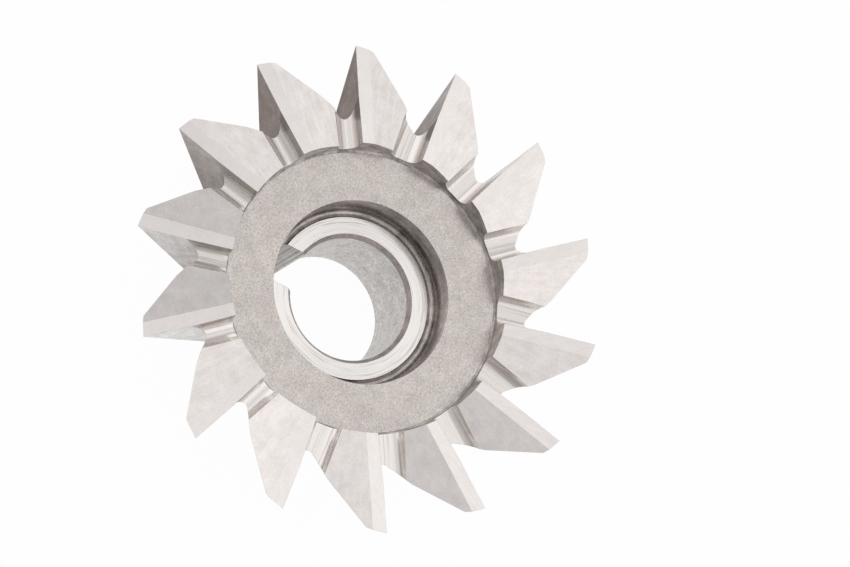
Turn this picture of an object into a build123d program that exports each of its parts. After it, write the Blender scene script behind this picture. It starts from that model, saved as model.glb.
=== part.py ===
from build123d import *
from math import cos, radians, sin, tan
import os

# A single-angle milling cutter with an arbor bore, cut and ground from one blank.
# The axis is Z. The origin is on the axis in the back hub face, and the toothed face looks up.
# Lengths are in millimetres and angles in degrees.

# Blank
tip_diameter = 63.0
overall_width = 19.0
cone_angle = 50.0

# Teeth, with the land and the heel of each on the toothed face and on the cone
tooth_count = 14
face_land_width = 1.8
face_clearance = 1.5
face_heel_angle = 15.0
face_dish_angle = 0.9
cone_land_width = 2.6
cone_clearance = 10.0
cone_heel_angle = 43.0

# Flutes, which run down the cone: a V with one side on the cutting face
flute_depth = 7.67
flute_run_angle = 29.5
flute_angle = 60.0
flute_radius = 1.1

# Gashes, which carry the flutes across the toothed face into the recess
gash_width = 3.85
narrow_gash_width = 2.85
narrow_gash_count = 6
gash_depth = 2.6
gash_radius = 1.25
gash_lean = 5.0
gash_turn = 2.0
gash_pivot_inset = 6.1

# Recess in the toothed face and the deeper pocket round the seat ring
recess_diameter = 37.45
recess_depth = 3.2
recess_fillet = 0.3
wall_draft = 5.0
groove_width = 0.96
groove_depth = 0.45

# Seat ring, bore and keyway
ring_face_depth = 7.0
ring_width = 2.65
bore_diameter = 16.0
bore_chamfer_width = 0.5
bore_chamfer_height = 0.7
back_chamfer = 0.4
keyway_width = 5.2
keyway_depth = 3.0

# Radii and heights that follow from the sizes above
tip_radius = tip_diameter / 2
bore_radius = bore_diameter / 2
tooth_pitch = 360 / tooth_count
face_height = overall_width
hub_height = face_height - recess_depth
ring_height = face_height - ring_face_depth
ring_radius = bore_radius + ring_width
back_radius = tip_radius - overall_width / tan(radians(cone_angle))

# A length that reaches past the blank in every direction from any point of it
past_blank = tip_diameter + overall_width


def blank():
    """The turned blank, as a section in the YZ plane revolved about the axis, its seam in the keyway."""
    recess_top = recess_diameter / 2
    recess_bottom = recess_top - recess_depth * tan(radians(wall_draft))
    pocket_bottom = ring_radius + groove_width
    pocket_top = pocket_bottom + (hub_height - ring_height) * tan(radians(wall_draft))
    groove_middle = (ring_radius + pocket_bottom) / 2
    outside = Polyline(
        (pocket_bottom, ring_height),
        (pocket_top, hub_height),
        (recess_bottom, hub_height),
        (recess_top, face_height),
        (tip_radius, face_height),
        (back_radius, 0),
        (bore_radius + back_chamfer, 0),
        (bore_radius, back_chamfer),
        (bore_radius, ring_height - bore_chamfer_height),
        (bore_radius + bore_chamfer_width, ring_height),
        (ring_radius, ring_height),
    )
    groove = ThreePointArc(
        (ring_radius, ring_height),
        (groove_middle, ring_height - groove_depth),
        (pocket_bottom, ring_height),
    )
    section = make_face(outside + groove)
    recess_corner = section.vertices().sort_by_distance((recess_bottom, hub_height))[0]
    section = fillet(recess_corner, recess_fillet)
    return revolve(Plane.YZ * section, Axis.Z)


def keyway():
    """The key slot, through the wall of the bore and the seat ring along the whole width."""
    reach = bore_radius + keyway_depth
    return Pos(0, reach / 2, 0) * Box(keyway_width, reach, 2 * past_blank)


# Each tooth is shaped with its cutting face in the YZ plane and its tip on the Y axis.
# The tooth lies on the +X side of that face, and the flute and the gash on the -X side.


def relief_sector():
    """The space from the cutting face clockwise, until just before the rounded corners at the next face."""
    turn = radians(tooth_pitch)
    start_radius = max(flute_radius, gash_radius) / sin(turn)
    far_end = ((past_blank - start_radius) * tan(turn), past_blank)
    outline = Polyline((0, start_radius), (0, past_blank), far_end, close=True)
    return extrude(Plane.XY * make_face(outline), past_blank)


def relief(edge_direction, land_width, clearance, heel_angle):
    """What is ground away over a tooth's land and heel, along the cutting edge that leaves the tip this way."""
    square_to_edge = Plane(origin=(0, tip_radius, face_height), x_dir=(1, 0, 0), z_dir=edge_direction)
    land_drop = land_width * tan(radians(clearance))
    heel_drop = land_drop + past_blank * tan(radians(heel_angle))
    kept = Polyline(
        (-land_width, -land_drop),
        (land_width, land_drop),
        (land_width + past_blank, heel_drop),
        (land_width + past_blank, heel_drop + past_blank),
        (-land_width, heel_drop + past_blank),
        close=True,
    )
    return relief_sector() - extrude(square_to_edge * make_face(kept), past_blank, both=True)


def face_relief():
    """What is ground away above the land and heel on the toothed face."""
    dish = radians(face_dish_angle)
    return relief((0, cos(dish), sin(dish)), face_land_width, face_clearance, face_heel_angle)


def cone_relief():
    """What is ground away outside the land and heel on the cone."""
    slope = radians(cone_angle)
    return relief((0, -cos(slope), -sin(slope)), cone_land_width, cone_clearance, cone_heel_angle)


def flute():
    """The V in front of the cutting face, its round bottom on a line that falls to the back hub face."""
    angle = radians(flute_angle)
    run = radians(flute_run_angle)
    corner_height = flute_radius - flute_radius / tan(angle / 2)
    far_side_end = (-past_blank * sin(angle), corner_height + past_blank * cos(angle))
    section = make_face(Polyline((0, corner_height), (0, past_blank), far_side_end, close=True))
    corner = section.vertices().sort_by_distance((0, corner_height))[0]
    section = fillet(corner, flute_radius)
    floor_start = (0, tip_radius - flute_depth, face_height)
    square_to_floor = Plane(origin=floor_start, x_dir=(1, 0, 0), z_dir=(0, sin(run), cos(run)))
    return extrude(square_to_floor * section, past_blank, both=True)


def gash(width):
    """The shallow slot that carries the flute across the toothed face, one side on the cutting edge."""
    lean_offset = gash_depth * tan(radians(gash_lean))
    sides = Polyline(
        (lean_offset, gash_depth),
        (-lean_offset, -gash_depth),
        (-width, -gash_depth),
        (-width, gash_depth),
        close=True,
    )
    section = make_face(sides)
    section = fillet(section.vertices().group_by(Axis.Y)[0], gash_radius)
    slot = extrude(Plane.XZ * section, tip_radius - recess_diameter / 2, both=True)
    return Pos(0, tip_radius - gash_pivot_inset, face_height) * Rot(0, 0, gash_turn) * slot


def angle_cutter():
    """The finished cutter, with the keyway on +Y midway between two tips, and the narrow gashes nearest it."""
    waste = face_relief() + cone_relief() + flute()
    wide = waste + gash(gash_width)
    narrow = waste + gash(narrow_gash_width)
    cutter = blank() - keyway()
    for step in range(tooth_count):
        pitches = step + 0.5 - tooth_count / 2
        near_keyway = abs(pitches) < narrow_gash_count / 2
        cutter -= Rot(0, 0, pitches * tooth_pitch) * (narrow if near_keyway else wide)
    return cutter


os.makedirs("parts", exist_ok=True)
export_step(angle_cutter(), "parts/angle_cutter.step")
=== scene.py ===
from math import atan2, cos, floor, hypot, pi, radians, sin

import bmesh
import bpy
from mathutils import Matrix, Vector


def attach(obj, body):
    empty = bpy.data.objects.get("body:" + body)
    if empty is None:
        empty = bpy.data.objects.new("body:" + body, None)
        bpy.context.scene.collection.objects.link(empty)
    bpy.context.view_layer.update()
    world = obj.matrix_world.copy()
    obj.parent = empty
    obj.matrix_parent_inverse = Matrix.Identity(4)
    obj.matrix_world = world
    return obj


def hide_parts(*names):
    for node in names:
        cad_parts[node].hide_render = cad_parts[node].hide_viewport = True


# The milling cutter's looks. The axis is Z, the toothed face looks up, and the keyway is on +Y.
# The cutter's sizes and the places of its faces are in millimetres, as in the part's source.
# The objects are in metres.

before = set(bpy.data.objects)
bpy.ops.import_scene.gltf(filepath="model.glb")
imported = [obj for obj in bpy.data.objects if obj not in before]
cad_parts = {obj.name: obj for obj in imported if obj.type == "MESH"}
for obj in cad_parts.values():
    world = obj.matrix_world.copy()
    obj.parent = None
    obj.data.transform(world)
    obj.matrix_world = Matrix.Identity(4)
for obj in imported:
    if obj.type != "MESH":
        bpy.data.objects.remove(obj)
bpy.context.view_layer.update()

MM = 0.001

# Sizes of the cutter
TOOTH_COUNT = 14
PITCH = 2 * pi / TOOTH_COUNT
GASH_HEIGHT = 16.4
HUB_HEIGHT = 15.8
RING_HEIGHT = 12.0
BORE_RADIUS = 8.0
BORE_CHAMFER = 0.5
POCKET_RADIUS = 11.95
RECESS_RADIUS = 18.73
KEYWAY_HALF_WIDTH = 2.6
KEYWAY_REACH = 11.0
KEYWAY_CORNER = hypot(KEYWAY_HALF_WIDTH, KEYWAY_REACH)
CONE_ANGLE = radians(50)
FACE_DISH = radians(0.9)
FACE_CLEARANCE = radians(1.5)
FACE_HEEL_ANGLE = radians(15)
CONE_CLEARANCE = radians(10)
CONE_HEEL_ANGLE = radians(43)
FLUTE_RUN = radians(29.5)
GASH_TURN = radians(2)

# How closely a face keeps to its zone: to its place, to a direction as a cosine, and to a
# direction as the distance between two unit vectors
NEAR = 0.01
SQUARE = 0.9999
ALIKE = 0.04

# The least that a face points inward on the recess wall, and backward, away from its tooth, on
# the wall and the rounded corner of a gash
WALL_INWARD = 0.05
GASH_WALL_BACKWARD = 0.99
GASH_CORNER_BACKWARD = 0.02

# How the mesh is welded, made flat, shaded and bevelled
WELDED_WITHIN = 0.0005 * MM
FLAT_WITHIN = radians(0.3)
SMOOTH_WITHIN = radians(40)
BEVELLED_FROM = radians(30)
BEVEL_WIDTH = 0.035 * MM

# How far the grain moves along and across from one tooth to the next, so that no two are alike
GRAIN_STEP = (61.0, 37.0)


def relief_normal(fall, outward, upward):
    """Where a relief faces, in its tooth's own directions, when it falls away from an edge.

    Outward and upward say where the blank faces at that edge.
    """
    return Vector((sin(fall), cos(fall) * outward, cos(fall) * upward))


RELIEF_NORMALS = {
    "face_land": relief_normal(FACE_CLEARANCE, -sin(FACE_DISH), cos(FACE_DISH)),
    "face_heel": relief_normal(FACE_HEEL_ANGLE, -sin(FACE_DISH), cos(FACE_DISH)),
    "cone_land": relief_normal(CONE_CLEARANCE, sin(CONE_ANGLE), -cos(CONE_ANGLE)),
    "cone_heel": relief_normal(CONE_HEEL_ANGLE, sin(CONE_ANGLE), -cos(CONE_ANGLE)),
}
LEVEL_HEIGHTS = {"back_face": 0.0, "seat_ring": RING_HEIGHT, "hub_face": HUB_HEIGHT}
GASH_AXIS = Vector((-sin(GASH_TURN), cos(GASH_TURN), 0))


def in_tooth(tooth, v):
    """A vector in the tooth's own directions: x clockwise, y along the cutting face, z up."""
    turn = -tooth * PITCH
    along = (cos(turn), sin(turn))
    return Vector((v.x * along[1] - v.y * along[0], v.x * along[0] + v.y * along[1], v.z))


def turned_zone(c, r, n):
    """The zone of a face inside the recess, in the bore or on the back, or None."""
    in_keyway = abs(c.x) < KEYWAY_HALF_WIDTH + NEAR and c.y > 0 and r < KEYWAY_CORNER + NEAR
    if in_keyway and (abs(n.x) > SQUARE or n.y < -SQUARE):
        return "keyway"
    for zone, height in LEVEL_HEIGHTS.items():
        if abs(n.z) > SQUARE and abs(c.z - height) < NEAR:
            return zone
    if r < BORE_RADIUS + NEAR:
        return "bore"
    if r < BORE_RADIUS + BORE_CHAMFER:
        return "bore_chamfer"
    if r < POCKET_RADIUS and c.z < RING_HEIGHT:
        return "groove"
    if r < POCKET_RADIUS + NEAR:
        return "pocket_wall"
    inward = -(n.x * c.x + n.y * c.y) / hypot(c.x, c.y)
    if r < RECESS_RADIUS + NEAR and inward > WALL_INWARD and c.z > HUB_HEIGHT:
        return "recess_wall"
    return None


def tooth_zone(c, n):
    """The zone of a face among the teeth, and its tooth."""
    place = -atan2(c.y, c.x) / PITCH
    tooth = round(place) % TOOTH_COUNT
    facing = in_tooth(tooth, n)
    if facing.x < -SQUARE:
        return "cutting_face", tooth
    if facing.x < -GASH_WALL_BACKWARD and abs(facing.dot(GASH_AXIS)) < ALIKE:
        return "gash_side", tooth
    tooth = floor(place) % TOOTH_COUNT
    facing = in_tooth(tooth, n)
    for zone, normal in RELIEF_NORMALS.items():
        clear_of_gash = normal.z < 0 or c.z > GASH_HEIGHT + NEAR
        if clear_of_gash and (facing - normal).length < ALIKE:
            return zone, tooth
    tooth = (tooth + 1) % TOOTH_COUNT
    facing = in_tooth(tooth, n)
    if c.z > HUB_HEIGHT and abs(facing.dot(GASH_AXIS)) < ALIKE:
        return "gash_side" if facing.x < -GASH_CORNER_BACKWARD else "gash", tooth
    return "flute", tooth


def zone_of(face):
    """The zone of a face, and its tooth, which is 0 away from the teeth."""
    centre = face.calc_center_median() / MM
    radius = sum(hypot(v.co.x, v.co.y) for v in face.verts) / len(face.verts) / MM
    zone = turned_zone(centre, radius, face.normal)
    return (zone, 0) if zone else tooth_zone(centre, face.normal)


def grain_place(zone, tooth, p):
    """Where a point lies on its face, in millimetres along the grinding lines and across them."""
    t = in_tooth(tooth, p)
    if zone in ("face_land", "face_heel"):
        return t.y, t.x
    if zone in ("cone_land", "cone_heel"):
        return t.x, t.z
    if zone in ("gash", "gash_side"):
        return t.y, t.x + t.z
    if zone == "keyway":
        return p.z, p.x + p.y
    along = t.z * cos(FLUTE_RUN) + t.y * sin(FLUTE_RUN)
    across = t.y * cos(FLUTE_RUN) - t.z * sin(FLUTE_RUN)
    return along, t.x + across


def zoned_mesh(source, zones):
    """A copy of the node's mesh with flat faces whole, each face in its zone, and grain coordinates."""
    mesh = bpy.data.meshes.new("angle_cutter_ground")
    bm = bmesh.new()
    bm.from_mesh(source.data)
    bmesh.ops.remove_doubles(bm, verts=bm.verts, dist=WELDED_WITHIN)
    bmesh.ops.dissolve_limit(bm, angle_limit=FLAT_WITHIN, verts=bm.verts, edges=bm.edges)
    bm.normal_update()
    uv = bm.loops.layers.uv.new("grain")
    for face in bm.faces:
        zone, tooth = zone_of(face)
        face.material_index = zones.index(zone)
        face.smooth = True
        for loop in face.loops:
            along, across = grain_place(zone, tooth, loop.vert.co / MM)
            loop[uv].uv = (along + GRAIN_STEP[0] * tooth, across + GRAIN_STEP[1] * tooth)
    for edge in bm.edges:
        if len(edge.link_faces) == 2:
            a, b = edge.link_faces
            same_zone = a.material_index == b.material_index
            edge.smooth = same_zone and edge.calc_face_angle(0) < SMOOTH_WITHIN
    bm.to_mesh(mesh)
    bm.free()
    return mesh


class Graph:
    """Adds nodes to a node tree. A value given for a socket is a constant or another node's output."""

    def __init__(self, tree):
        self.nodes = tree.nodes
        self.links = tree.links

    def feed(self, socket, value):
        if isinstance(value, bpy.types.NodeSocket):
            self.links.new(value, socket)
        else:
            socket.default_value = value

    def add(self, kind, sockets, **settings):
        node = self.nodes.new("ShaderNode" + kind)
        for name, value in settings.items():
            setattr(node, name, value)
        for name, value in sockets.items():
            self.feed(node.inputs[name], value)
        return node

    def math(self, operation, a, b, clamp=False):
        return self.add("Math", {0: a, 1: b}, operation=operation, use_clamp=clamp).outputs[0]

    def ramp(self, value, start, end, low=0.0, high=1.0, interpolation="LINEAR"):
        ends = {"Value": value, "From Min": start, "From Max": end, "To Min": low, "To Max": high}
        return self.add("MapRange", ends, interpolation_type=interpolation).outputs[0]

    def noise(self, vector, scale, detail=3.0, roughness=0.6):
        settings = {"Vector": vector, "Scale": scale, "Detail": detail, "Roughness": roughness}
        return self.add("TexNoise", settings).outputs["Fac"]

    def mix(self, factor, a, b, **settings):
        ends = {"Factor": factor, "A": a, "B": b}
        return self.add("Mix", ends, data_type="RGBA", **settings).outputs["Result"]


def turned_coordinates(graph, around, across):
    """Coordinates without a seam, in noise cells per radian round the axis and per millimetre across."""
    place = graph.add("TexCoord", {}).outputs["Object"]
    parts = graph.add("SeparateXYZ", {0: place})
    flat = graph.add("CombineXYZ", {"X": parts.outputs["X"], "Y": parts.outputs["Y"]}).outputs[0]
    radius = graph.add("VectorMath", {0: flat}, operation="LENGTH").outputs["Value"]
    heading = graph.add("VectorMath", {0: flat}, operation="NORMALIZE").outputs[0]
    spread = graph.add("VectorMath", {0: heading, "Scale": around}, operation="SCALE").outputs[0]
    ends = graph.add("SeparateXYZ", {0: spread})
    depth = graph.math("MULTIPLY", graph.math("ADD", radius, parts.outputs["Z"]), across / MM)
    return graph.add("CombineXYZ", {"X": ends.outputs["X"], "Y": ends.outputs["Y"], "Z": depth}).outputs[0]


def ground_coordinates(graph, along, across, turn):
    """The grain coordinates, in noise cells per millimetre along grinding lines and across them.

    The lines are turned by so many degrees on their face.
    """
    place = graph.add("UVMap", {}, uv_map="grain").outputs[0]
    turned = graph.add("Mapping", {"Vector": place, "Rotation": (0, 0, radians(turn))}).outputs[0]
    return graph.add("Mapping", {"Vector": turned, "Scale": (along, across, 1)}).outputs[0]


# The patterns on the steel, as noise cells per fine line or per millimetre, and the parts of the
# noise's range over which each fades in
BROAD_LINES = 0.22
BLOTCHES_PER_MM = 0.55
TINTS_PER_MM = 0.35
GRAINS_PER_MM = 4.0
USUAL_FADE = (0.36, 0.64)
BLOTCH_FADE = (0.36, 0.66)
TINT_FADE = (0.4, 0.6)
ROUGHNESS_FADE = (0.3, 0.7)

FINE_LINE_SHARE = 0.6
LINE_DEPTH = 0.01 * MM
ACROSS_THE_LINES = 0.25
GREEN_CAST = (0.92, 0.99, 0.98, 1)


def steel(name, colour, shade, roughness, lines, turn=None, line_share=0.5, line_fade=USUAL_FADE,
          mottle=0.5, grit=0.1, tint=0.1, bump=0.3, stretch=0.5, painted_wall_shade=None):
    """Bare steel. The colour wanders to the shade in blotches and along machining lines.

    Lines are noise cells per millimetre along and across. Without a turn they run round the axis,
    and the first number is cells per radian. The highlight is stretched across the lines. Grit is
    the share of colour lost in the darkest grains. The painted wall shade is painted shade on steep
    walls: the share of colour lost on an upright wall, and the upward direction of the slope from
    which nothing is lost.
    """
    material = bpy.data.materials.new(name)
    material.use_nodes = True
    graph = Graph(material.node_tree)
    if turn is None:
        vector = turned_coordinates(graph, *lines)
        tangent = graph.add("Tangent", {}, direction_type="RADIAL", axis="Z").outputs[0]
    else:
        vector = ground_coordinates(graph, *lines, turn)
        tangent = graph.add("Tangent", {}, direction_type="UV_MAP", uv_map="grain").outputs[0]
    place = graph.add("TexCoord", {}).outputs["Object"]
    fine = graph.noise(vector, 1.0)
    broad = graph.noise(vector, BROAD_LINES, detail=2.0)
    blotches = graph.noise(place, BLOTCHES_PER_MM / MM, detail=4.0, roughness=0.65)
    tints = graph.noise(place, TINTS_PER_MM / MM, detail=2.0)
    fine_part = graph.math("MULTIPLY", fine, FINE_LINE_SHARE)
    broad_part = graph.math("MULTIPLY", broad, 1 - FINE_LINE_SHARE)
    streaks = graph.math("ADD", fine_part, broad_part)
    lined = graph.ramp(streaks, *line_fade, high=line_share)
    mottled = graph.ramp(blotches, *BLOTCH_FADE, high=mottle)
    shaded = graph.math("ADD", lined, mottled, clamp=True)
    blend = graph.mix(shaded, (*colour, 1), (*shade, 1))
    tinted = graph.ramp(tints, *TINT_FADE, high=tint)
    tone = graph.mix(tinted, blend, GREEN_CAST, blend_type="MULTIPLY")
    grains = graph.noise(place, GRAINS_PER_MM / MM, detail=4.0, roughness=0.9)
    kept = graph.ramp(grains, *USUAL_FADE, 1.0, 1.0 - grit)
    # Painted shade on steep walls: the colour darkens as a face turns from upward to upright.
    if painted_wall_shade:
        wall_shade_share, unshaded_slope = painted_wall_shade
        normal = graph.add("TexCoord", {}).outputs["Normal"]
        upward = graph.add("SeparateXYZ", {0: normal}).outputs["Z"]
        unshaded = graph.ramp(upward, 0.0, unshaded_slope, 1.0 - wall_shade_share, 1.0)
        kept = graph.math("MULTIPLY", kept, unshaded)
    tone = graph.add("VectorMath", {0: tone, "Scale": kept}, operation="SCALE").outputs[0]
    relief = graph.add("Bump", {"Strength": bump, "Distance": LINE_DEPTH, "Height": streaks}).outputs[0]
    looks = {
        "Base Color": tone,
        "Metallic": 1.0,
        "Roughness": graph.ramp(fine, *ROUGHNESS_FADE, *roughness),
        "Anisotropic": stretch,
        "Anisotropic Rotation": ACROSS_THE_LINES,
        "Tangent": tangent,
        "Normal": relief,
    }
    shader = graph.nodes["Principled BSDF"]
    for socket, value in looks.items():
        graph.feed(shader.inputs[socket], value)
    return material


MATERIALS = {
    "face_land": steel(
        "ground_land", colour=(1.0, 0.945, 0.92), shade=(0.90, 0.83, 0.81), roughness=(0.16, 0.22),
        lines=(0.25, 2.2), turn=12, line_share=0.1, mottle=0.35, grit=0.07, tint=0.0, bump=0.12,
    ),
    "face_heel": steel(
        "ground_heel", colour=(1.0, 0.94, 0.915), shade=(0.72, 0.65, 0.63), roughness=(0.17, 0.25),
        lines=(0.2, 1.6), turn=-12, line_share=0.2, mottle=0.34, grit=0.11, tint=0.2, bump=0.15,
    ),
    "cone_land": steel(
        "ground_cone_land", colour=(0.84, 0.81, 0.80), shade=(0.72, 0.69, 0.68), roughness=(0.36, 0.4),
        lines=(0.3, 4.0), turn=5,
    ),
    "cone_heel": steel(
        "ground_cone_heel", colour=(0.80, 0.77, 0.76), shade=(0.64, 0.61, 0.60), roughness=(0.36, 0.42),
        lines=(0.3, 4.0), turn=5,
    ),
    "cutting_face": steel(
        "ground_cutting_face", colour=(1.0, 0.965, 0.94), shade=(0.62, 0.585, 0.56), roughness=(0.25, 0.35),
        lines=(0.15, 2.0), turn=0, line_share=0.4, mottle=0.6, grit=0.25, tint=0.2,
    ),
    # The gashes carry painted shade on their steep walls, stronger on the side walls.
    "gash": steel(
        "ground_gash", colour=(1.0, 0.95, 0.915), shade=(0.45, 0.40, 0.37), roughness=(0.22, 0.34),
        lines=(0.04, 3.2), turn=0, line_share=0.4, line_fade=(0.54, 0.6), mottle=0.0, grit=0.05, tint=0.0,
        bump=0.35, painted_wall_shade=(0.2, 0.2),
    ),
    "gash_side": steel(
        "ground_gash_side", colour=(1.0, 0.945, 0.91), shade=(0.45, 0.40, 0.37), roughness=(0.22, 0.34),
        lines=(0.04, 3.2), turn=0, line_share=0.4, line_fade=(0.54, 0.6), mottle=0.0, grit=0.08, tint=0.0,
        bump=0.35, painted_wall_shade=(0.6, 0.9),
    ),
    "flute": steel(
        "ground_flute", colour=(0.86, 0.82, 0.80), shade=(0.62, 0.58, 0.56), roughness=(0.3, 0.45),
        lines=(0.12, 3.0), turn=0,
    ),
    "hub_face": steel(
        "satin_hub", colour=(1.0, 0.92, 0.87), shade=(0.74, 0.675, 0.635), roughness=(0.27, 0.35),
        lines=(60.0, 1.5), line_share=0.1, mottle=0.5, grit=0.42, stretch=0.0,
    ),
    "recess_wall": steel(
        "dark_recess_wall", colour=(0.84, 0.775, 0.745), shade=(0.26, 0.24, 0.225), roughness=(0.3, 0.45),
        lines=(12.0, 2.0), grit=0.35,
    ),
    "pocket_wall": steel(
        "dark_pocket_wall", colour=(0.68, 0.62, 0.595), shade=(0.18, 0.16, 0.15), roughness=(0.16, 0.24),
        lines=(3.0, 5.0), mottle=0.4, grit=0.4,
    ),
    "groove": steel(
        "turned_groove", colour=(0.84, 0.77, 0.735), shade=(0.28, 0.25, 0.235), roughness=(0.2, 0.3),
        lines=(8.0, 3.0), grit=0.3,
    ),
    "seat_ring": steel(
        "turned_seat_ring", colour=(1.0, 0.96, 0.93), shade=(0.74, 0.675, 0.64), roughness=(0.14, 0.24),
        lines=(2.0, 6.0), line_share=0.9, line_fade=(0.54, 0.62), mottle=0.0, grit=0.06, tint=0.0, bump=0.12,
    ),
    "bore_chamfer": steel(
        "dark_chamfer", colour=(1.0, 0.905, 0.87), shade=(0.50, 0.44, 0.41), roughness=(0.35, 0.5),
        lines=(6.0, 4.0), grit=0.3,
    ),
    "bore": steel(
        "honed_bore", colour=(0.93, 0.88, 0.85), shade=(0.46, 0.44, 0.42), roughness=(0.3, 0.4),
        lines=(10.0, 1.5), line_share=0.2, mottle=0.4, grit=0.55, tint=0.3,
    ),
    "keyway": steel(
        "broached_keyway", colour=(0.72, 0.69, 0.665), shade=(0.16, 0.15, 0.14), roughness=(0.3, 0.45),
        lines=(0.04, 5.0), turn=0, line_share=0.9, mottle=0.2, grit=0.3,
    ),
    "back_face": steel(
        "ground_back", colour=(0.74, 0.72, 0.70), shade=(0.58, 0.56, 0.54), roughness=(0.3, 0.45),
        lines=(10.0, 3.0),
    ),
}

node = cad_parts["angle_cutter"]
cutter = bpy.data.objects.new("angle_cutter_ground", zoned_mesh(node, list(MATERIALS)))
bpy.context.scene.collection.objects.link(cutter)
for material in MATERIALS.values():
    cutter.data.materials.append(material)
edges = cutter.modifiers.new("edges", "BEVEL")
edges.width = BEVEL_WIDTH
edges.segments = 1
edges.limit_method = "ANGLE"
edges.angle_limit = BEVELLED_FROM
edges.use_clamp_overlap = False
edges.harden_normals = True
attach(cutter, "root")
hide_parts("angle_cutter")

# The white floor under the cutter, and a painted shadow on it that only mirrored rays see. The
# painted shadow is whole in its core and gone at its end, and sets in round the light under the bore.
WHITE = (1, 1, 1, 1)
FLOOR_REACH = 3.0
FLOOR_GAP = 0.05 * MM
FLOOR_PAINT = (0.96, 0.96, 0.96, 1)
FLOOR_ROUGHNESS = 0.9
FLOOR_WHITENESS = 0.97
SHADOW_CENTRE = (17 * MM, 18.5 * MM, 0)
SHADOW_CORE = 14 * MM
SHADOW_END = 36 * MM
SHADOW_COLOUR = (0.31, 0.27, 0.26, 1)
LIGHT_UNDER_BORE = (9 * MM, 15 * MM)


def floor_material():
    """A matt white floor. Camera and mirrored rays see most of it as plain white, and mirrored rays also see
    a painted shadow on it.
    """
    material = bpy.data.materials.new("white_floor")
    material.use_nodes = True
    graph = Graph(material.node_tree)
    matt = graph.nodes["Principled BSDF"]
    matt.inputs["Base Color"].default_value = FLOOR_PAINT
    matt.inputs["Roughness"].default_value = FLOOR_ROUGHNESS
    matt.inputs["Specular IOR Level"].default_value = 0.0
    path = graph.add("LightPath", {}).outputs
    place = graph.add("TexCoord", {}).outputs["Object"]
    away = graph.add("VectorMath", {0: place, 1: SHADOW_CENTRE}, operation="DISTANCE").outputs["Value"]
    radius = graph.add("VectorMath", {0: place}, operation="LENGTH").outputs["Value"]
    # Painted shadow: a soft dark patch placed on the floor, seen only by glossy rays.
    fading = graph.ramp(away, SHADOW_CORE, SHADOW_END, 1.0, 0.0, "SMOOTHSTEP")
    past_bore = graph.ramp(radius, *LIGHT_UNDER_BORE, interpolation="SMOOTHSTEP")
    shadow = graph.math("MULTIPLY", fading, past_bore)
    mirrored = graph.math("MULTIPLY", shadow, path["Is Glossy Ray"])
    tone = graph.mix(mirrored, WHITE, SHADOW_COLOUR)
    white = graph.add("Emission", {"Color": tone, "Strength": 1.0}).outputs[0]
    seen = graph.math("MAXIMUM", path["Is Camera Ray"], path["Is Glossy Ray"])
    seen = graph.math("MAXIMUM", seen, path["Is Transmission Ray"])
    share = graph.math("MULTIPLY", seen, FLOOR_WHITENESS)
    mix = graph.add("MixShader", {"Fac": share, 1: matt.outputs[0], 2: white}).outputs[0]
    graph.links.new(mix, graph.nodes["Material Output"].inputs["Surface"])
    return material


floor_mesh = bpy.data.meshes.new("floor")
corners = [(-1, -1), (1, -1), (1, 1), (-1, 1)]
floor_mesh.from_pydata([(x * FLOOR_REACH, y * FLOOR_REACH, 0) for x, y in corners], [], [(0, 1, 2, 3)])
floor_mesh.materials.append(floor_material())
ground = bpy.data.objects.new("floor", floor_mesh)
ground.location.z = -FLOOR_GAP
bpy.context.scene.collection.objects.link(ground)

# The camera, in metres and degrees, and its lens in millimetres
CAMERA_PLACE = (-0.186671, 0.134690, 0.502313)
CAMERA_TURN = (13.3932, -22.6343, -68.2963)
FOCAL_LENGTH = 179.895

camera_data = bpy.data.cameras.new("camera")
camera_data.sensor_width = 36.0
camera_data.lens = FOCAL_LENGTH
camera_data.clip_start = 0.01
camera_data.clip_end = 20.0
camera = bpy.data.objects.new("camera", camera_data)
camera.location = CAMERA_PLACE
camera.rotation_euler = [radians(angle) for angle in CAMERA_TURN]
bpy.context.scene.collection.objects.link(camera)
bpy.context.scene.camera = camera

# The studio: white all round, with dimmer gaps between its softboxes
DIM_PATCHES = (
    # direction, degrees from it to where the dim middle ends and to where all dimness ends, and
    # the share of light lost in the middle
    ((-0.623, 0.203, 0.755), 16, 56, 0.51),
    ((0.608, -0.125, 0.784), 3.5, 20, 0.61),
    ((0.604, -0.797, 0.019), 12, 37, 0.80),
    ((0.128, -0.337, 0.933), 5, 11, 0.50),
)


def studio():
    """The white world, dimmed in each patch, and plain white behind the cutter."""
    world = bpy.data.worlds.new("studio")
    world.use_nodes = True
    graph = Graph(world.node_tree)
    direction = graph.add("TexCoord", {}).outputs["Generated"]
    level = 1.0
    for towards, middle, end, loss in DIM_PATCHES:
        nearness = graph.add("VectorMath", {0: direction, 1: towards}, operation="DOT_PRODUCT")
        fade = (cos(radians(end)), cos(radians(middle)))
        dim = graph.ramp(nearness.outputs["Value"], *fade, 1.0, 1.0 - loss, "SMOOTHSTEP")
        level = graph.math("MULTIPLY", level, dim)
    path = graph.add("LightPath", {}).outputs
    background = graph.nodes["Background"]
    background.inputs["Color"].default_value = WHITE
    graph.feed(background.inputs["Strength"], graph.math("MAXIMUM", level, path["Is Camera Ray"]))
    return world


bpy.context.scene.world = studio()
bpy.context.scene.view_settings.view_transform = "Standard"
